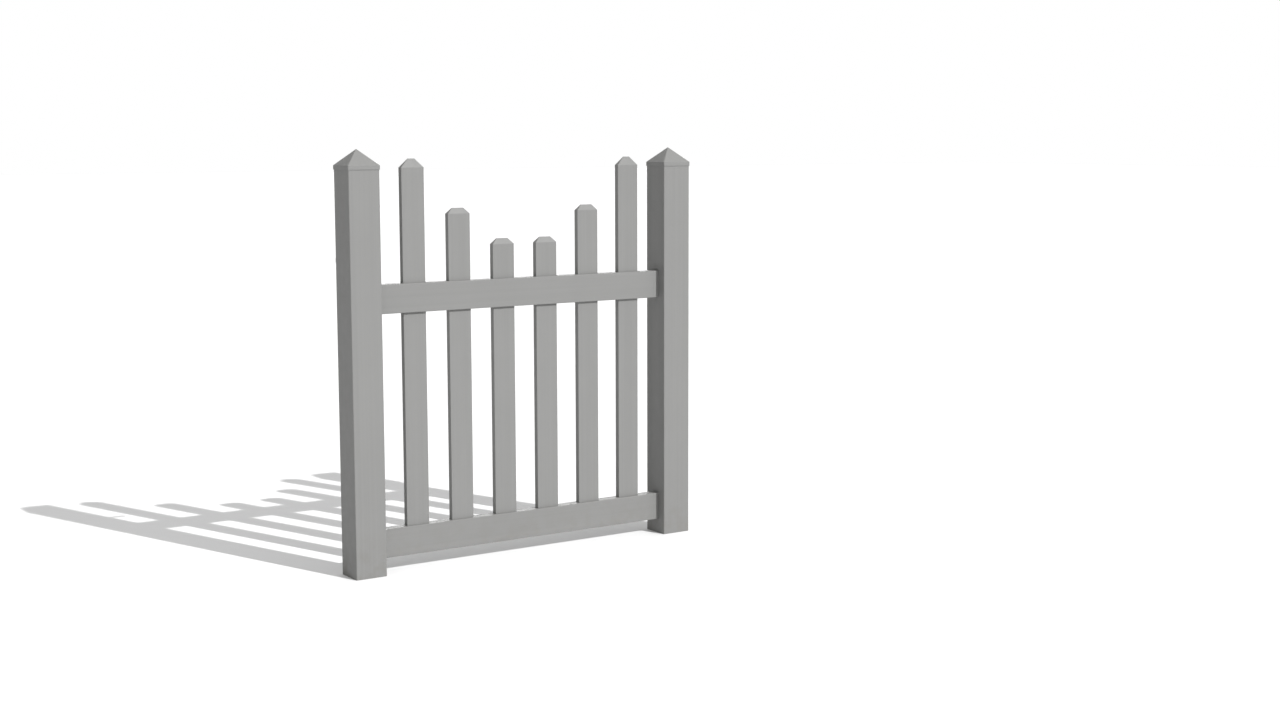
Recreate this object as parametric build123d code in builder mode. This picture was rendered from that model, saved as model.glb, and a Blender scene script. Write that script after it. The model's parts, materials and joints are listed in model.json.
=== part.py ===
from build123d import *
import os

# Picket gate leaf in hollow PVC extrusions, hung on two butt hinges, with a slide bolt.
# Millimetres. X runs along the gate, Y through it, Z up. The origin is the middle of the
# hinge stile's foot, so the leaf reaches out along -X. Its front faces -Y and it opens
# towards +Y.

# ---- stiles: the two square uprights
stile_width = 101.6
stile_wall = 3.8
stile_corner = 3.0
stile_pitch = 1129.6
stile_height = 1241.0

# ---- stile caps: a square skirt under a hollow pyramid
cap_width = 105.0
cap_corner = 3.5
cap_skirt_bottom = 1231.5
cap_skirt_height = 12.7
cap_pyramid_height = 47.8
cap_apex_width = 1.6
cap_skin = 2.2
cap_hollow_top = 2.0
cap_edge_round = 0.8
cap_rim_round = 0.5

# ---- rails: two hollow bars let into the stiles
rail_depth = 38.1
rail_height = 88.9
rail_wall = 2.5
rail_corner = 1.8
rail_engagement = 38.0
rail_bottoms = {"top": 797.5, "bottom": 48.0}
weep_radius = 3.0
weep_inset = 45.0
ring_thickness = 10.0
ring_rim = 8.0
ring_corner = 4.0
ring_lip_width = 3.0
ring_lip_height = 24.0
ring_lip_root = 0.9

# ---- pickets, which step down from both ends to the middle
picket_width = 76.2
picket_thickness = 19.05
picket_wall = 1.8
picket_corner = 1.0
picket_pitch = 156.5
picket_end_gap = 91.5
picket_tops = [1263.0, 1111.0, 1012.5, 1012.5, 1111.0, 1263.0]
picket_hips = [27.0, 18.0, 18.0, 18.0, 18.0, 27.0]
picket_ridge = 2.0
spigot_depth = 14.0
spigot_wall = 1.5
hollow_rise = 0.7
hollow_ridge = 0.2

# ---- feet and stiffeners inside the stiles
foot_height = 20.0
foot_floor = 4.0
foot_rim = 3.0
drain_radius = 3.0
drain_offset = 34.0
insert_wall = 2.5
insert_corner = 2.0
insert_foot_z = 25.0
insert_top_z = 1215.0
hinge_insert_flange = 30.0
latch_insert_flange = 18.0

# ---- fits
slot_clearance = 0.3
slide_fit = 0.1
pin_fit = 0.05
past = 1.0  # how far a cut runs on past the face that it leaves by

# ---- hinges: steel butts on the outer side of the hinge stile
hinge_heights = {"upper": 1040.0, "lower": 190.0}
hinge_gap = 14.0
hinge_length = 120.0
hinge_plate = 3.0
hinge_plate_corner = 6.0
hinge_plate_clear = 1.0
hinge_knuckles = 5
hinge_washer_gap = 1.0
hinge_pin_diameter = 8.0
hinge_pin_head = 13.0
hinge_pin_head_height = 5.0
hinge_pin_head_dome = 3.5
hinge_pin_rivet = 11.0
hinge_pin_rivet_height = 3.0
hinge_pin_rivet_dome = 2.0
hinge_washer_inset = 0.2
hinge_axis_from_stile = 8.5
hinge_front_edge_y = -9.0
hinge_holes_mid_y = 18.0
hinge_holes_y = 36.0
hinge_holes_z = 84.0
hinge_post_hole = 6.5
edge_break = 0.4

# ---- screws
screw_diameter = 5.0
screw_head_diameter = 10.0
screw_head_height = 2.6
screw_head_dome = 1.56
screw_recess_slot = 1.2
screw_recess_depth = 1.43
screw_recess_share = 0.45
hinge_screw_length = 22.0
bolt_screw_length = 18.0
picket_screw_diameter = 4.0
picket_screw_head = 8.0
picket_screw_length = 16.5

# ---- slide bolt on the back of the latch stile
bolt_z = 960.0
bolt_diameter = 12.0
bolt_length = 135.0
bolt_nose_inset = 12.0
bolt_nose_chamfer = 2.0
bolt_tail_chamfer = 1.0
bolt_stand_off = 13.0
bolt_plate_length = 88.0
bolt_plate_height = 46.0
bolt_plate_thickness = 2.5
bolt_plate_corner = 5.0
bolt_holes_x = 50.0
bolt_holes_z = 34.0
bolt_guide_pitch = 72.0
bolt_guide_width = 8.0
bolt_guide_height = 22.0
bolt_guide_roof = 4.0
bolt_guide_round = 7.3
bolt_knob_from_nose = 64.0
bolt_knob_shank = 6.0
bolt_knob_reach = 14.0
bolt_knob_ball = 15.0

# ---- places worked out from the sizes above
stile_half = stile_width / 2
stile_bore = stile_width - 2 * stile_wall
bore_half = stile_bore / 2
hinge_stile_x = 0.0
latch_stile_x = -stile_pitch
opening_start = latch_stile_x + stile_half
opening_end = hinge_stile_x - stile_half
first_picket_x = opening_start + picket_end_gap + picket_width / 2
picket_places = [first_picket_x + i * picket_pitch for i in range(len(picket_tops))]
picket_foot_z = rail_bottoms["bottom"] + rail_wall
hinge_axis_x = stile_half + hinge_gap / 2
hinge_axis_y = stile_half + hinge_axis_from_stile
latch_edge_x = latch_stile_x - stile_half
bolt_y = stile_half + bolt_stand_off

os.makedirs("parts", exist_ok=True)


def save(piece, name):
    piece.label = name
    export_step(piece, f"parts/{name}.step")


def facing_back(x, y, z):
    """A plane that looks out of the gate's back; its own x runs towards -X."""
    return Plane((x, y, z), x_dir=(-1, 0, 0), z_dir=(0, 1, 0))


def pan_screw(length, shank=screw_diameter, head=screw_head_diameter):
    """A pan-head screw: the underside of its head is at z = 0 and its shank points down."""
    with BuildPart(mode=Mode.PRIVATE) as screw:
        Cylinder(shank / 2, length, align=(Align.CENTER, Align.CENTER, Align.MAX))
        chamfer(screw.edges().sort_by(Axis.Z)[0], shank / 4)
        Cylinder(head / 2, screw_head_height, align=(Align.CENTER, Align.CENTER, Align.MIN))
        fillet(screw.edges().sort_by(Axis.Z)[-1], screw_head_dome)
        with BuildSketch(Plane.XY.offset(screw_head_height)):
            Rectangle(head * screw_recess_share, screw_recess_slot)
            Rectangle(screw_recess_slot, head * screw_recess_share)
        extrude(amount=-screw_recess_depth, mode=Mode.SUBTRACT)
    return screw.part


def on_rim(edge, through, hole):
    """True for an edge of a plate's outline, on one of its faces, and not round a hole."""
    crosses = edge.geom_type == GeomType.LINE and abs(edge.tangent_at(0).dot(through.direction)) > 0.5
    is_hole = edge.geom_type == GeomType.CIRCLE and edge.radius <= hole / 2 + 0.1
    return not crosses and not is_hole


# ================= stiles
def four_holes(middle, span):
    """The corners of a hole pattern, in the coordinates of the face that it is drilled in."""
    return [(middle[0] + a * span[0] / 2, middle[1] + b * span[1] / 2)
            for a in (-1, 1) for b in (-1, 1)]


hinge_screw_spots = [spot for z in hinge_heights.values()
                     for spot in four_holes((hinge_holes_mid_y, z), (hinge_holes_y, hinge_holes_z))]
bolt_screw_spots = four_holes((-latch_stile_x, bolt_z), (bolt_holes_x, bolt_holes_z))


def make_stile(x, inward, screw_plane, screw_spots):
    """A square tube with a routed hole for each rail and a hole for each hardware screw."""
    with BuildPart() as stile:
        with BuildSketch():
            with Locations((x, 0)):
                RectangleRounded(stile_width, stile_width, stile_corner)
                RectangleRounded(stile_bore, stile_bore, stile_corner / 2, mode=Mode.SUBTRACT)
        extrude(amount=stile_height)
        with BuildSketch(Plane.YZ.offset(x)):
            for z in rail_bottoms.values():
                with Locations((0, z + rail_height / 2)):
                    RectangleRounded(rail_depth + 2 * slot_clearance,
                                     rail_height + 2 * slot_clearance, rail_corner)
        extrude(amount=inward * (stile_half + past), mode=Mode.SUBTRACT)
        with BuildSketch(screw_plane):
            with Locations(*screw_spots):
                Circle(screw_diameter / 2 + slide_fit)
        extrude(amount=-stile_wall - past, mode=Mode.SUBTRACT)
    return stile


hinge_side = Plane.YZ.offset(stile_half)
latch_back = facing_back(0, stile_half, 0)
save(make_stile(hinge_stile_x, -1, hinge_side, hinge_screw_spots).part, "hinge_stile")
save(make_stile(latch_stile_x, 1, latch_back, bolt_screw_spots).part, "latch_stile")


# ================= aluminium stiffeners inside the stiles
insert_web = stile_bore - 4 * slide_fit


def make_insert(web_plane, flange, screw_plane, screw_spots):
    """A channel whose web lies along one wall of the stile, so that screws bite in metal."""
    with BuildPart() as insert:
        with BuildSketch(web_plane) as section:
            Rectangle(insert_web, flange, align=(Align.CENTER, Align.MIN))
            fillet(section.vertices().group_by(Axis.Y)[0], insert_corner)
            with Locations((0, insert_wall)):
                Rectangle(insert_web - 2 * insert_wall, flange, align=(Align.CENTER, Align.MIN),
                          mode=Mode.SUBTRACT)
        extrude(amount=insert_top_z - insert_foot_z)
        with BuildSketch(screw_plane):
            with Locations(*screw_spots):
                Circle(screw_diameter / 2 + pin_fit)
        extrude(amount=-stile_wall - insert_wall - past, mode=Mode.SUBTRACT)
    return insert


hinge_web = Plane((bore_half, 0, insert_foot_z), x_dir=(0, 1, 0), z_dir=(0, 0, 1))
latch_web = Plane((latch_stile_x, bore_half, insert_foot_z), x_dir=(-1, 0, 0), z_dir=(0, 0, 1))
save(make_insert(hinge_web, hinge_insert_flange, hinge_side, hinge_screw_spots).part, "hinge_stile_insert")
save(make_insert(latch_web, latch_insert_flange, latch_back, bolt_screw_spots).part, "latch_stile_insert")


# ================= feet and caps of the stiles
def make_foot(x):
    """A plug pressed up into the open end of a stile, flush with it, with two drain holes."""
    width = stile_bore - 2 * slide_fit
    with BuildPart() as foot:
        with BuildSketch():
            with Locations((x, 0)):
                RectangleRounded(width, width, stile_corner / 2)
        extrude(amount=foot_height)
        with BuildSketch(Plane.XY.offset(foot_floor)):
            with Locations((x, 0)):
                RectangleRounded(width - 2 * foot_rim, width - 2 * foot_rim, stile_corner / 2)
        extrude(amount=foot_height - foot_floor, mode=Mode.SUBTRACT)
        with Locations((x - drain_offset, 0, foot_floor), (x + drain_offset, 0, foot_floor)):
            Hole(drain_radius, depth=foot_floor)
    return foot


def make_cap(x):
    """A moulded cap: the skirt passes down over the stile, which the inner ledge rests on."""
    skirt_top = cap_skirt_bottom + cap_skirt_height
    apex = skirt_top + cap_pyramid_height
    slope = cap_pyramid_height / (cap_width / 2)
    skin_drop = cap_skin * (1 + slope ** 2) ** 0.5
    inner_eaves = skirt_top + (cap_width / 2 - bore_half) * slope - skin_drop
    with BuildPart() as cap:
        with BuildSketch(Plane.XY.offset(cap_skirt_bottom)):
            with Locations((x, 0)):
                RectangleRounded(cap_width, cap_width, cap_corner)
        extrude(amount=cap_skirt_height)
        with BuildSketch(Plane.XY.offset(skirt_top)):
            with Locations((x, 0)):
                RectangleRounded(cap_width, cap_width, cap_corner)
        with BuildSketch(Plane.XY.offset(apex)):
            with Locations((x, 0)):
                RectangleRounded(cap_apex_width, cap_apex_width, cap_apex_width / 4)
        loft()
        levels = cap.edges().group_by(Axis.Z)
        fillet(levels[0], cap_rim_round)
        eaves = cap.edges().filter_by(lambda e: abs(e.center().Z - skirt_top) < 0.1)
        fillet(eaves, cap_edge_round)
        with BuildSketch(Plane.XY.offset(cap_skirt_bottom)):
            with Locations((x, 0)):
                RectangleRounded(stile_width + 2 * slide_fit, stile_width + 2 * slide_fit,
                                 stile_corner)
        extrude(amount=stile_height - cap_skirt_bottom, mode=Mode.SUBTRACT)
        with BuildSketch(Plane.XY.offset(stile_height)):
            with Locations((x, 0)):
                Rectangle(stile_bore, stile_bore)
        extrude(amount=inner_eaves - stile_height, mode=Mode.SUBTRACT)
        with BuildSketch(Plane.XY.offset(inner_eaves)):
            with Locations((x, 0)):
                Rectangle(stile_bore, stile_bore)
        with BuildSketch(Plane.XY.offset(apex - skin_drop - cap_hollow_top / 2 * slope)):
            with Locations((x, 0)):
                Rectangle(cap_hollow_top, cap_hollow_top)
        loft(mode=Mode.SUBTRACT)
    return cap


for side, stile_x in (("hinge", hinge_stile_x), ("latch", latch_stile_x)):
    save(make_foot(stile_x).part, f"{side}_stile_foot")
    save(make_cap(stile_x).part, f"{side}_stile_cap")


# ================= rails
rail_start = opening_start - rail_engagement
rail_length = opening_end + rail_engagement - rail_start
ring_places = {"hinge": -bore_half + ring_thickness / 2,
               "latch": latch_stile_x + bore_half - ring_thickness / 2}


def make_rail(z, slot_floor, weeps):
    """A hollow bar: picket slots cut from slot_floor up, and a notch for each lock ring."""
    with BuildPart() as rail:
        with BuildSketch(Plane.YZ.offset(rail_start)):
            with Locations((0, z + rail_height / 2)):
                RectangleRounded(rail_depth, rail_height, rail_corner)
                RectangleRounded(rail_depth - 2 * rail_wall, rail_height - 2 * rail_wall,
                                 rail_corner / 3, mode=Mode.SUBTRACT)
        extrude(amount=rail_length)
        with BuildSketch(Plane.XY.offset(slot_floor)):
            with Locations(*[(x, 0) for x in picket_places]):
                RectangleRounded(picket_width + 2 * slot_clearance,
                                 picket_thickness + 2 * slot_clearance, picket_corner)
        extrude(amount=z + rail_height + past - slot_floor, mode=Mode.SUBTRACT)
        with Locations(*[(x, 0, z + rail_height / 2) for x in ring_places.values()]):
            Box(ring_lip_width + 2 * slot_clearance, rail_depth + 2 * past,
                ring_lip_height + 2 * slot_clearance, mode=Mode.SUBTRACT)
        with BuildSketch(facing_back(0, rail_depth / 2, z + rail_height / 2)):
            with Locations(*[(-x, 0) for x in picket_places]):
                Circle(picket_screw_diameter / 2 + pin_fit)
        extrude(amount=-rail_wall - past, mode=Mode.SUBTRACT)
        if weeps:
            ends = (opening_start + weep_inset, opening_end - weep_inset)
            with Locations(*[(x, 0, z + rail_wall) for x in ends]):
                Hole(weep_radius, depth=rail_wall)
    return rail


below_top_rail = rail_bottoms["top"] - past
inside_bottom_rail = rail_bottoms["bottom"] + rail_height / 2
save(make_rail(rail_bottoms["top"], below_top_rail, False).part, "top_rail")
save(make_rail(rail_bottoms["bottom"], inside_bottom_rail, True).part, "bottom_rail")


def make_lock_ring(x, z):
    """A ring behind the stile's wall: its two lips drop into the rail's notches."""
    with BuildPart() as ring:
        with BuildSketch(Plane.YZ.offset(x - ring_thickness / 2)):
            with Locations((0, z + rail_height / 2)):
                RectangleRounded(rail_depth + 2 * ring_rim, rail_height + 2 * ring_rim, ring_corner)
                RectangleRounded(rail_depth + 2 * slide_fit, rail_height + 2 * slide_fit,
                                 rail_corner, mode=Mode.SUBTRACT)
        extrude(amount=ring_thickness)
        lip_depth = rail_wall + slide_fit + ring_lip_root
        for side in (-1, 1):
            with Locations((x, side * (rail_depth / 2 - rail_wall + lip_depth / 2),
                            z + rail_height / 2)):
                Box(ring_lip_width, lip_depth, ring_lip_height)
    return ring


for side, ring_x in ring_places.items():
    for rail, rail_z in rail_bottoms.items():
        save(make_lock_ring(ring_x, rail_z).part, f"{rail}_rail_{side}_lock_ring")


# ================= pickets and their caps
def make_picket(x, shoulder):
    """A flat hollow bar, open at both ends, with a hole in its back at each rail."""
    with BuildPart() as picket:
        with BuildSketch(Plane.XY.offset(picket_foot_z)):
            with Locations((x, 0)):
                RectangleRounded(picket_width, picket_thickness, picket_corner)
                Rectangle(picket_width - 2 * picket_wall, picket_thickness - 2 * picket_wall,
                          mode=Mode.SUBTRACT)
        extrude(amount=shoulder - picket_foot_z)
        with BuildSketch(facing_back(x, picket_thickness / 2, 0)):
            with Locations(*[(0, z + rail_height / 2) for z in rail_bottoms.values()]):
                Circle(picket_screw_diameter / 2 + pin_fit)
        extrude(amount=-picket_wall - past, mode=Mode.SUBTRACT)
    return picket


def make_picket_cap(x, shoulder, hip):
    """A hipped cap, flush with the picket's faces, on a hollow spigot that plugs into it."""
    spigot_x = picket_width - 2 * picket_wall - 2 * slide_fit
    spigot_y = picket_thickness - 2 * picket_wall - 2 * slide_fit
    hollow_x = spigot_x - 2 * spigot_wall
    hollow_y = spigot_y - 2 * spigot_wall
    with BuildPart() as cap:
        with BuildSketch(Plane.XY.offset(shoulder)):
            with Locations((x, 0)):
                RectangleRounded(picket_width, picket_thickness, picket_corner)
        with BuildSketch(Plane.XY.offset(shoulder + hip)):
            with Locations((x, 0)):
                RectangleRounded(picket_width - 2 * hip, picket_ridge, picket_corner / 2)
        loft()
        with BuildSketch(Plane.XY.offset(shoulder)):
            with Locations((x, 0)):
                Rectangle(spigot_x, spigot_y)
        extrude(amount=-spigot_depth)
        with BuildSketch(Plane.XY.offset(shoulder - spigot_depth)):
            with Locations((x, 0)):
                Rectangle(hollow_x, hollow_y)
        extrude(amount=spigot_depth, mode=Mode.SUBTRACT)
        with BuildSketch(Plane.XY.offset(shoulder)):
            with Locations((x, 0)):
                Rectangle(hollow_x, hollow_y)
        with BuildSketch(Plane.XY.offset(shoulder + hip * hollow_rise)):
            with Locations((x, 0)):
                Rectangle(hollow_x - 2 * hip * hollow_rise, hollow_y * hollow_ridge)
        loft(mode=Mode.SUBTRACT)
    return cap


for number, (x, top, hip) in enumerate(zip(picket_places, picket_tops, picket_hips), start=1):
    save(make_picket(x, top - hip).part, f"picket_{number}")
    save(make_picket_cap(x, top - hip, hip).part, f"picket_cap_{number}")


# ================= screws that hold the pickets, through the back of each rail
picket_screw = pan_screw(picket_screw_length, picket_screw_diameter, picket_screw_head)
for rail, rail_z in rail_bottoms.items():
    group = [Pos(x, rail_depth / 2, rail_z + rail_height / 2) * Rot(X=-90) * picket_screw
             for x in picket_places]
    save(Compound(children=group), f"{rail}_rail_picket_screws")


# ================= hinges
knuckle_length = (hinge_length - (hinge_knuckles - 1) * hinge_washer_gap) / hinge_knuckles
knuckle_pitch = knuckle_length + hinge_washer_gap
knuckle_radius = hinge_gap / 2
plate_back_edge_y = hinge_axis_y - knuckle_radius - hinge_plate_clear


def make_hinge_plate(middle, face_x, knuckles, hole):
    """A butt hinge's plate, face_x to face_x + hinge_plate, with the knuckles that are its own."""
    bottom = middle - hinge_length / 2
    with BuildPart() as plate:
        with BuildSketch(Plane.YZ.offset(face_x)) as outline:
            with Locations((hinge_front_edge_y, middle)):
                Rectangle(plate_back_edge_y - hinge_front_edge_y, hinge_length,
                          align=(Align.MIN, Align.CENTER))
            fillet(outline.vertices().group_by(Axis.X)[0], hinge_plate_corner)
            spots = four_holes((hinge_holes_mid_y, middle), (hinge_holes_y, hinge_holes_z))
            with Locations(*spots):
                Circle(hole / 2, mode=Mode.SUBTRACT)
        extrude(amount=hinge_plate)
        rims = plate.edges().filter_by(lambda e: on_rim(e, Axis.X, hole))
        chamfer(rims.filter_by(lambda e: e.center().Y < plate_back_edge_y - 0.1), edge_break)
        for i in knuckles:
            with BuildSketch(Plane.XY.offset(bottom + i * knuckle_pitch)):
                with Locations((hinge_axis_x, hinge_axis_y)):
                    Circle(knuckle_radius)
                with Locations((face_x, hinge_axis_y)):
                    Rectangle(hinge_plate, hinge_axis_y - plate_back_edge_y + hinge_plate_clear,
                              align=(Align.MIN, Align.MAX))
                with Locations((hinge_axis_x, hinge_axis_y)):
                    Circle(hinge_pin_diameter / 2 + pin_fit, mode=Mode.SUBTRACT)
            extrude(amount=knuckle_length)
    return plate


def make_hinge_pin(middle):
    """A plain pin under a domed head, with its lower end riveted over into a smaller dome."""
    bottom = middle - hinge_length / 2
    with BuildPart() as pin:
        with BuildSketch(Plane.XY.offset(bottom)):
            with Locations((hinge_axis_x, hinge_axis_y)):
                Circle(hinge_pin_diameter / 2)
        extrude(amount=hinge_length)
        with BuildSketch(Plane.XY.offset(bottom + hinge_length)):
            with Locations((hinge_axis_x, hinge_axis_y)):
                Circle(hinge_pin_head / 2)
        extrude(amount=hinge_pin_head_height)
        fillet(pin.edges().sort_by(Axis.Z)[-1], hinge_pin_head_dome)
        with BuildSketch(Plane.XY.offset(bottom)):
            with Locations((hinge_axis_x, hinge_axis_y)):
                Circle(hinge_pin_rivet / 2)
        extrude(amount=-hinge_pin_rivet_height)
        fillet(pin.edges().sort_by(Axis.Z)[0], hinge_pin_rivet_dome)
    return pin


def make_hinge_washers(middle):
    """Nylon washers, one between each two knuckles."""
    first = middle - hinge_length / 2 + knuckle_length + pin_fit
    with BuildPart() as washers:
        for i in range(hinge_knuckles - 1):
            with BuildSketch(Plane.XY.offset(first + i * knuckle_pitch)):
                with Locations((hinge_axis_x, hinge_axis_y)):
                    Circle(knuckle_radius - hinge_washer_inset)
                    Circle(hinge_pin_diameter / 2 + slide_fit, mode=Mode.SUBTRACT)
            extrude(amount=hinge_washer_gap - 2 * pin_fit)
    return washers


post_plate_x = stile_half + hinge_gap - hinge_plate
hinge_screw = pan_screw(hinge_screw_length)
for name, z in hinge_heights.items():
    post_knuckles = range(0, hinge_knuckles, 2)
    gate_knuckles = range(1, hinge_knuckles, 2)
    gate_hole = screw_diameter + 2 * slide_fit
    save(make_hinge_plate(z, post_plate_x, post_knuckles, hinge_post_hole).part,
         f"{name}_hinge_post_plate")
    save(make_hinge_plate(z, stile_half, gate_knuckles, gate_hole).part, f"{name}_hinge_gate_plate")
    save(make_hinge_pin(z).part, f"{name}_hinge_pin")
    save(make_hinge_washers(z).part, f"{name}_hinge_washers")
    spots = four_holes((hinge_holes_mid_y, z), (hinge_holes_y, hinge_holes_z))
    group = [Pos(stile_half + hinge_plate, y, spot_z) * Rot(Y=90) * hinge_screw
             for y, spot_z in spots]
    save(Compound(children=group), f"{name}_hinge_screws")


# ================= slide bolt
bolt_plate_face = facing_back(latch_stile_x, stile_half, bolt_z)
bolt_nose_x = latch_edge_x + bolt_nose_inset
bolt_knob_x = bolt_nose_x + bolt_knob_from_nose

with BuildPart() as bolt_plate:
    with BuildSketch(bolt_plate_face):
        RectangleRounded(bolt_plate_length, bolt_plate_height, bolt_plate_corner)
        with GridLocations(bolt_holes_x, bolt_holes_z, 2, 2):
            Circle(screw_diameter / 2 + slide_fit, mode=Mode.SUBTRACT)
    extrude(amount=bolt_plate_thickness)
    rim = bolt_plate.edges().filter_by(lambda e: on_rim(e, Axis.Y, screw_diameter + 1))
    chamfer(rim.group_by(Axis.Y)[-1], edge_break)
    guide_top = bolt_stand_off + bolt_diameter / 2 + bolt_guide_roof
    with BuildSketch(bolt_plate_face.offset(bolt_plate_thickness)):
        with GridLocations(bolt_guide_pitch, 1, 2, 1):
            Rectangle(bolt_guide_width, bolt_guide_height)
    extrude(amount=guide_top - bolt_plate_thickness)
    guide_edges = bolt_plate.edges().filter_by(Axis.X).group_by(Axis.Y)[-1]
    fillet(guide_edges, bolt_guide_round)
    with BuildSketch(Plane.YZ.offset(latch_stile_x - bolt_plate_length / 2)):
        with Locations((bolt_y, bolt_z)):
            Circle(bolt_diameter / 2 + pin_fit)
    extrude(amount=bolt_plate_length, mode=Mode.SUBTRACT)
save(bolt_plate.part, "bolt_plate")

with BuildPart() as bolt_rod:
    with BuildSketch(Plane.YZ.offset(bolt_nose_x)):
        with Locations((bolt_y, bolt_z)):
            Circle(bolt_diameter / 2)
    extrude(amount=bolt_length)
    chamfer(bolt_rod.edges().sort_by(Axis.X)[0], bolt_nose_chamfer)
    chamfer(bolt_rod.edges().sort_by(Axis.X)[-1], bolt_tail_chamfer)
    with BuildSketch(facing_back(bolt_knob_x, bolt_y, bolt_z)):
        Circle(bolt_knob_shank / 2 + pin_fit)
    extrude(amount=bolt_diameter, mode=Mode.SUBTRACT)
save(bolt_rod.part, "bolt_rod")

ball_centre = bolt_diameter / 2 + bolt_knob_reach
with BuildPart() as bolt_knob:
    with BuildSketch(facing_back(bolt_knob_x, bolt_y, bolt_z)):
        Circle(bolt_knob_shank / 2)
    extrude(amount=ball_centre)
    with Locations((bolt_knob_x, bolt_y + ball_centre, bolt_z)):
        Sphere(bolt_knob_ball / 2)
save(bolt_knob.part, "bolt_knob")

bolt_screw = pan_screw(bolt_screw_length)
group = [Pos(-x, stile_half + bolt_plate_thickness, z) * Rot(X=-90) * bolt_screw
         for x, z in bolt_screw_spots]
save(Compound(children=group), "bolt_screws")
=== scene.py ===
"""Looks, light and camera of the vinyl picket gate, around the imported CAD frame."""

import json
import math

import bpy
from mathutils import Matrix, Vector


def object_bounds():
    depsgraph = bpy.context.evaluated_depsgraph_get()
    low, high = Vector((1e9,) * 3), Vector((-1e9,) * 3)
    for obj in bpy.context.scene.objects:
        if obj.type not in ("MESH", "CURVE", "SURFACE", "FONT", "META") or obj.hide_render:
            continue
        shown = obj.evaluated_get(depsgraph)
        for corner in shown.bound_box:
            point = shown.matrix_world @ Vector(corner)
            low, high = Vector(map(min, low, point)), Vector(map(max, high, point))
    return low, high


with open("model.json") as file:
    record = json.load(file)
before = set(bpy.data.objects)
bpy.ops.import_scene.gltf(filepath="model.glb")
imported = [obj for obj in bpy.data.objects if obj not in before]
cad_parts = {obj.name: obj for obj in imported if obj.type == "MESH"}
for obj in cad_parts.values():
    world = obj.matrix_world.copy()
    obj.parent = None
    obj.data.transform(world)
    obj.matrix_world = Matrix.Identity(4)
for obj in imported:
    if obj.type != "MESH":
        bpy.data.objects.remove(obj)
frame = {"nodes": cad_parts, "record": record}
cad_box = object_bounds()
slot_of = {part["node"]: part["material_slot"] for part in frame["record"]["subparts"]}

MM = 0.001
GROUND_Z = cad_box[0].z
GROUND_REACH = 60.0

# Colours for shade() have three numbers, and colours for mix() have four.
VINYL_GREY = (0.202, 0.202, 0.198)
PLUG_GREY = (0.20, 0.20, 0.195)
COAT_BLACK = (0.026, 0.027, 0.028)
GROUND_WHITE = (0.82, 0.82, 0.82)
DUST = (0.29, 0.282, 0.262, 1.0)
SPLASH = (0.16, 0.148, 0.128, 1.0)
COAT_WORN = (0.11, 0.105, 0.10, 1.0)

# How much of the vinyl dust hides on a face that looks up, from its clean to its dusty patches,
# and how much of it splashes hide at the ground. The splashes thin out to nothing higher up.
DUST_COVER = (0.04, 0.22)
SPLASH_COVER = 0.42
SPLASH_HEIGHT = 0.16


class Nodes:
    """Short calls that add nodes to a node tree, which is emptied first."""

    def __init__(self, tree):
        self.tree = tree
        tree.nodes.clear()

    def node(self, kind, **settings):
        made = self.tree.nodes.new(kind)
        for name, value in settings.items():
            setattr(made, name, value)
        return made

    def link(self, source, target):
        self.tree.links.new(source, target)

    def feed(self, target, value):
        """Wires a socket, or sets a plain number or colour, on an input."""
        if isinstance(value, bpy.types.NodeSocket):
            self.link(value, target)
        else:
            target.default_value = value

    def maths(self, operation, a, b):
        made = self.node("ShaderNodeMath", operation=operation)
        self.feed(made.inputs[0], a)
        self.feed(made.inputs[1], b)
        return made.outputs[0]

    def remap(self, value, low, high, to_low, to_high):
        """Value from low..high to to_low..to_high, held at the ends."""
        made = self.node("ShaderNodeMapRange")
        for socket, number in zip(made.inputs[1:5], (low, high, to_low, to_high)):
            socket.default_value = number
        self.feed(made.inputs[0], value)
        return made.outputs[0]

    def axis(self, vector, name):
        """One of a vector's three numbers."""
        split = self.node("ShaderNodeSeparateXYZ")
        self.link(vector, split.inputs[0])
        return split.outputs[name]


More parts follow.
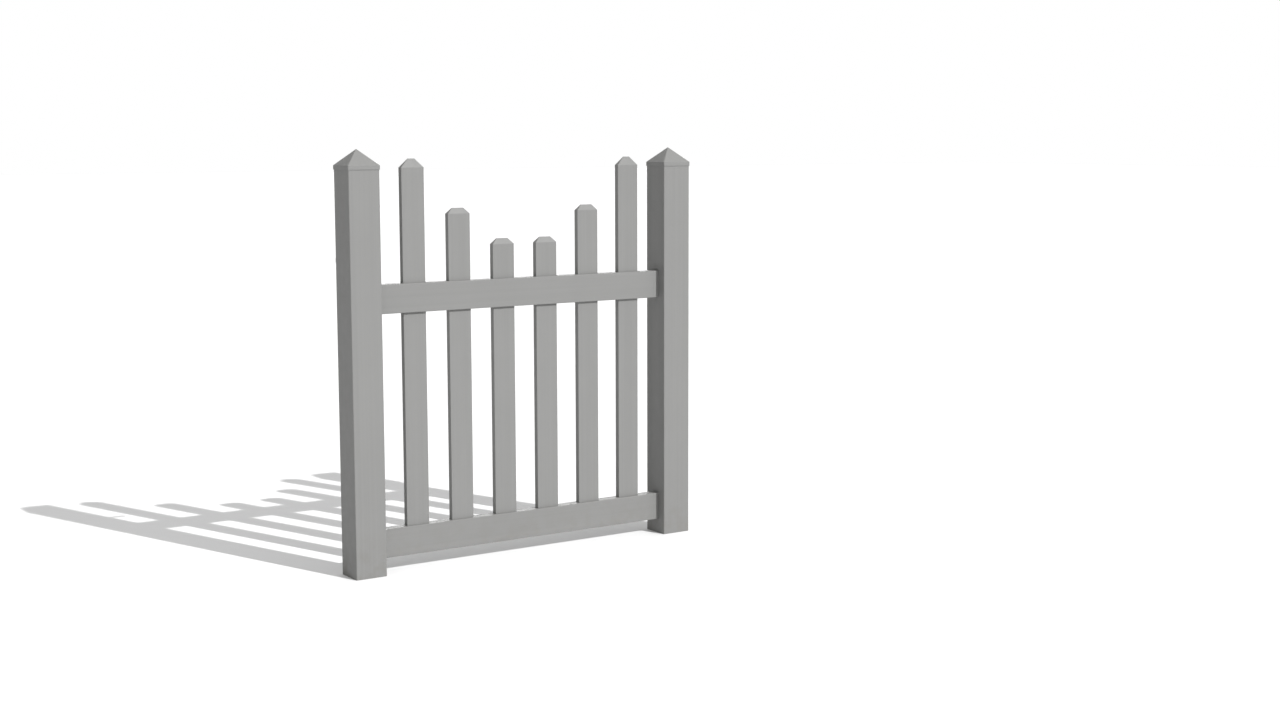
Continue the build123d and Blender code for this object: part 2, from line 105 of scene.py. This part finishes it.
class Finish(Nodes):
    """A material with a Principled shader, and what its surface is made up from."""

    def __init__(self, name):
        self.material = bpy.data.materials.new(name)
        self.material.use_nodes = True
        super().__init__(self.material.node_tree)
        self.shader = self.node("ShaderNodeBsdfPrincipled")
        output = self.node("ShaderNodeOutputMaterial")
        self.link(self.shader.outputs["BSDF"], output.inputs["Surface"])
        self.place = self.node("ShaderNodeTexCoord").outputs["Object"]
        self.relief = None

    def noise(self, waves, detail=2.0, roughness=0.5):
        """Noise of so many waves to the metre, a number or one for each axis."""
        per_axis = (waves,) * 3 if isinstance(waves, (int, float)) else waves
        stretched = self.node("ShaderNodeVectorMath", operation="MULTIPLY")
        self.link(self.place, stretched.inputs[0])
        stretched.inputs[1].default_value = per_axis
        made = self.node("ShaderNodeTexNoise")
        made.inputs["Scale"].default_value = 1.0
        made.inputs["Detail"].default_value = detail
        made.inputs["Roughness"].default_value = roughness
        self.link(stretched.outputs[0], made.inputs["Vector"])
        return made.outputs["Fac"]

    def spread(self, noise, low, high):
        """Noise, which hardly leaves 0.3..0.7, as a value that wanders from low to high."""
        return self.remap(noise, 0.3, 0.7, low, high)

    def normal(self):
        return self.node("ShaderNodeNewGeometry").outputs["Normal"]

    def facing_up(self):
        """1 on a level top face, 0 on an upright one."""
        return self.remap(self.axis(self.normal(), "Z"), 0.3, 1.0, 0.0, 1.0)

    def edges(self, radius):
        """1 along a sharp outer or inner edge, 0 on a face."""
        rounded = self.node("ShaderNodeBevel")
        rounded.inputs["Radius"].default_value = radius
        compare = self.node("ShaderNodeVectorMath", operation="DOT_PRODUCT")
        self.link(rounded.outputs[0], compare.inputs[0])
        self.link(self.normal(), compare.inputs[1])
        return self.remap(compare.outputs["Value"], 0.99, 0.8, 0.0, 1.0)

    def mix(self, a, b, factor):
        """Colour a, going over to colour b as the factor goes from 0 to 1."""
        made = self.node("ShaderNodeMix", data_type="RGBA")
        self.feed(made.inputs["Factor"], factor)
        self.feed(made.inputs[6], a)
        self.feed(made.inputs[7], b)
        return made.outputs[2]

    def shade(self, colour, factor):
        """A colour made lighter or darker by a factor about 1."""
        made = self.node("ShaderNodeVectorMath", operation="SCALE")
        self.feed(made.inputs[0], colour)
        self.feed(made.inputs["Scale"], factor)
        return made.outputs[0]

    def bump(self, height, depth):
        """Adds relief of the given depth in metres to what is there."""
        made = self.node("ShaderNodeBump")
        made.inputs["Distance"].default_value = depth
        self.feed(made.inputs["Height"], height)
        if self.relief is not None:
            self.link(self.relief, made.inputs["Normal"])
        self.relief = made.outputs[0]
        self.link(self.relief, self.shader.inputs["Normal"])

    def finish(self, colour, roughness, **fixed):
        """Wires colour and roughness, and sets what is the same all over on the shader."""
        self.feed(self.shader.inputs["Base Color"], colour)
        self.feed(self.shader.inputs["Roughness"], roughness)
        for name, value in fixed.items():
            self.shader.inputs[name.replace("_", " ")].default_value = value
        return self.material


# ---- materials

def along(direction, across, lengthwise):
    """Waves to the metre on each axis, for lines that run along one of them."""
    return tuple(lengthwise if axis == direction else across for axis in "XYZ")


def vinyl(name, direction=None, grey=VINYL_GREY):
    """Grey vinyl. An extrusion has faint lines from its die along it; a moulding has none."""
    made = Finish(name)
    tone = made.spread(made.noise(7.0, detail=3.0), 0.988, 1.012)
    gloss = made.spread(made.noise(38.0, detail=3.0), 0.50, 0.60)
    if direction:
        fine = made.noise(along(direction, across=620.0, lengthwise=1.5))
        broad = made.noise(along(direction, across=95.0, lengthwise=0.7))
        streaks = made.maths("ADD", made.spread(fine, -0.016, 0.016),
                             made.spread(broad, -0.024, 0.024))
        tone = made.maths("ADD", tone, streaks)
        gloss = made.maths("ADD", gloss, made.spread(broad, -0.05, 0.05))
        made.bump(broad, 0.10 * MM)
        made.bump(fine, 0.012 * MM)
    made.bump(made.noise(900.0), 0.010 * MM)
    patches = made.remap(made.noise(26.0, detail=5.0, roughness=0.62), 0.42, 0.72, 0.0, 1.0)
    dusty = made.maths("MULTIPLY", made.facing_up(), made.remap(patches, 0.0, 1.0, *DUST_COVER))
    low_down = made.remap(made.axis(made.place, "Z"), 0.0, SPLASH_HEIGHT, SPLASH_COVER, 0.0)
    splashed = made.maths("MULTIPLY", low_down, patches)
    colour = made.mix(made.shade(grey, tone), DUST, dusty)
    colour = made.mix(colour, SPLASH, splashed)
    gloss = made.maths("ADD", gloss, made.maths("MULTIPLY", splashed, 0.3))
    return made.finish(colour, gloss, Specular_IOR_Level=0.3)


def powder_coat(name):
    """Black powder coat: a fine orange peel, rubbed a little paler along the edges."""
    made = Finish(name)
    rubbed = made.remap(made.noise(160.0, detail=5.0), 0.48, 0.66, 0.0, 0.6)
    worn = made.maths("MULTIPLY", made.edges(0.7 * MM), rubbed)
    tone = made.spread(made.noise(45.0, detail=4.0), 0.85, 1.2)
    gloss = made.spread(made.noise(210.0, detail=3.0), 0.40, 0.54)
    made.bump(made.noise(520.0, detail=1.0), 0.06 * MM)
    return made.finish(made.mix(made.shade(COAT_BLACK, tone), COAT_WORN, worn), gloss)


def drawn_metal(name, colour, lines, roughness):
    """Bare metal with fine lines, of the given waves to the metre, and smears over them."""
    made = Finish(name)
    drawn = made.noise(lines, detail=3.0)
    smears = made.noise(55.0, detail=4.0)
    tone = made.maths("ADD", made.spread(drawn, 0.93, 1.03), made.spread(smears, -0.04, 0.04))
    gloss = made.maths("ADD", made.spread(drawn, *roughness),
                       made.remap(smears, 0.4, 0.7, 0.0, 0.10))
    made.bump(drawn, 0.006 * MM)
    return made.finish(made.shade(colour, tone), gloss, Metallic=1.0)


def moulding(name, colour, cloud, roughness):
    """A moulded plastic: a tone that varies by cloud either way, and a very fine skin."""
    made = Finish(name)
    tone = made.spread(made.noise(130.0, detail=4.0), 1.0 - cloud, 1.0 + cloud)
    gloss = made.spread(made.noise(300.0, detail=4.0), *roughness)
    made.bump(made.noise(1400.0, detail=1.0), 0.008 * MM)
    return made.finish(made.shade(colour, tone), gloss)


finish_of = {
    "pvc": vinyl("vinyl_moulded"),
    "plug_pvc": vinyl("vinyl_plug", grey=PLUG_GREY),
    "stiffener_aluminium": drawn_metal("aluminium", (0.60, 0.61, 0.62),
                                       along("Z", across=900.0, lengthwise=4.0), (0.32, 0.46)),
    "hinge_steel": powder_coat("powder_coat"),
    "stainless": drawn_metal("stainless", (0.56, 0.56, 0.55),
                             along("X", across=1400.0, lengthwise=30.0), (0.22, 0.32)),
    "nylon": moulding("nylon", (0.62, 0.60, 0.54), 0.04, (0.42, 0.52)),
    "knob_plastic": moulding("knob", (0.018, 0.018, 0.019), 0.08, (0.20, 0.30)),
}
upright_vinyl = vinyl("vinyl_upright", "Z")
level_vinyl = vinyl("vinyl_level", "X")
extruded = {
    **{f"picket_{number}": upright_vinyl for number in range(1, 7)},
    **{f"{side}_stile": upright_vinyl for side in ("hinge", "latch")},
    **{f"{place}_rail": level_vinyl for place in ("top", "bottom")},
}

for name, piece in frame["nodes"].items():
    piece.data.materials.clear()
    piece.data.materials.append(extruded.get(name, finish_of[slot_of[name]]))


# ---- floor, light and camera

def place_in_scene(name, data):
    made = bpy.data.objects.new(name, data)
    bpy.context.scene.collection.objects.link(made)
    return made


def make_floor():
    """A plain white ground that reaches far past the shadow."""
    signs = ((-1, -1), (1, -1), (1, 1), (-1, 1))
    mesh = bpy.data.meshes.new("floor")
    mesh.from_pydata([(x * GROUND_REACH, y * GROUND_REACH, GROUND_Z) for x, y in signs],
                     [], [(0, 1, 2, 3)])
    made = Finish("floor_white")
    tone = made.spread(made.noise(0.6), 0.995, 1.005)
    mesh.materials.append(made.finish(made.shade(GROUND_WHITE, tone), 0.9,
                                      Specular_IOR_Level=0.0))
    floor = place_in_scene("floor", mesh)


def make_lamp(name, travel, energy, width):
    """A distant lamp whose light travels one way; width is how broad it looks, in degrees."""
    lamp = bpy.data.lights.new(name, "SUN")
    lamp.energy = energy
    lamp.angle = math.radians(width)
    sun = place_in_scene(name, lamp)
    sun.rotation_mode = "QUATERNION"
    sun.rotation_quaternion = Vector(travel).to_track_quat("-Z", "Y")


def make_sky(overhead, all_round, in_front):
    """Soft fill from a dome, brightest overhead and stronger in front than behind.

    The camera itself sees plain white.
    """
    world = bpy.data.worlds.new("studio")
    world.use_nodes = True
    sky = Nodes(world.node_tree)
    way = sky.node("ShaderNodeTexCoord").outputs["Generated"]
    from_above = sky.remap(sky.axis(way, "Z"), 0.0, 1.0, 0.0, overhead)
    from_front = sky.remap(sky.axis(way, "Y"), 0.0, -1.0, 0.0, in_front)
    strength = sky.maths("ADD", sky.maths("ADD", from_above, all_round), from_front)
    choose = sky.node("ShaderNodeMixShader")
    sky.link(sky.node("ShaderNodeLightPath").outputs["Is Camera Ray"], choose.inputs[0])
    for slot, brightness in ((1, strength), (2, 1.0)):
        background = sky.node("ShaderNodeBackground")
        background.inputs["Color"].default_value = (1.0, 1.0, 1.0, 1.0)
        sky.feed(background.inputs["Strength"], brightness)
        sky.link(background.outputs[0], choose.inputs[slot])
    sky.link(choose.outputs[0], sky.node("ShaderNodeOutputWorld").inputs["Surface"])
    bpy.context.scene.world = world


def make_camera(place, lens, yaw, down, roll):
    """A camera at the given place, turned by three angles in degrees from straight along +Y."""
    data = bpy.data.cameras.new("camera")
    data.lens = lens
    data.sensor_width = 36.0
    data.clip_start = 0.1
    data.clip_end = 500.0
    camera = place_in_scene("camera", data)
    turn = (Matrix.Rotation(-math.radians(yaw), 4, "Z")
            @ Matrix.Rotation(math.radians(90.0 - down), 4, "X")
            @ Matrix.Rotation(-math.radians(roll), 4, "Z"))
    camera.matrix_world = Matrix.Translation(place) @ turn
    bpy.context.scene.camera = camera


make_floor()
# The key comes from the front right, and throws a shadow 1.34 times as long as the gate is high.
make_lamp("key", travel=(-0.43, 1.265, -1.0), energy=3.65, width=0.6)
make_lamp("fill", travel=(-0.45, -0.89, -0.18), energy=1.1, width=30.0)
make_sky(overhead=0.75, all_round=0.10, in_front=0.20)
# In front of the gate and to its left, a little above the height of its caps.
make_camera((-3.46327, -4.93292, 1.32612), lens=50.795, yaw=34.184, down=6.944, roll=0.095)
bpy.context.scene.view_settings.view_transform = "Standard"
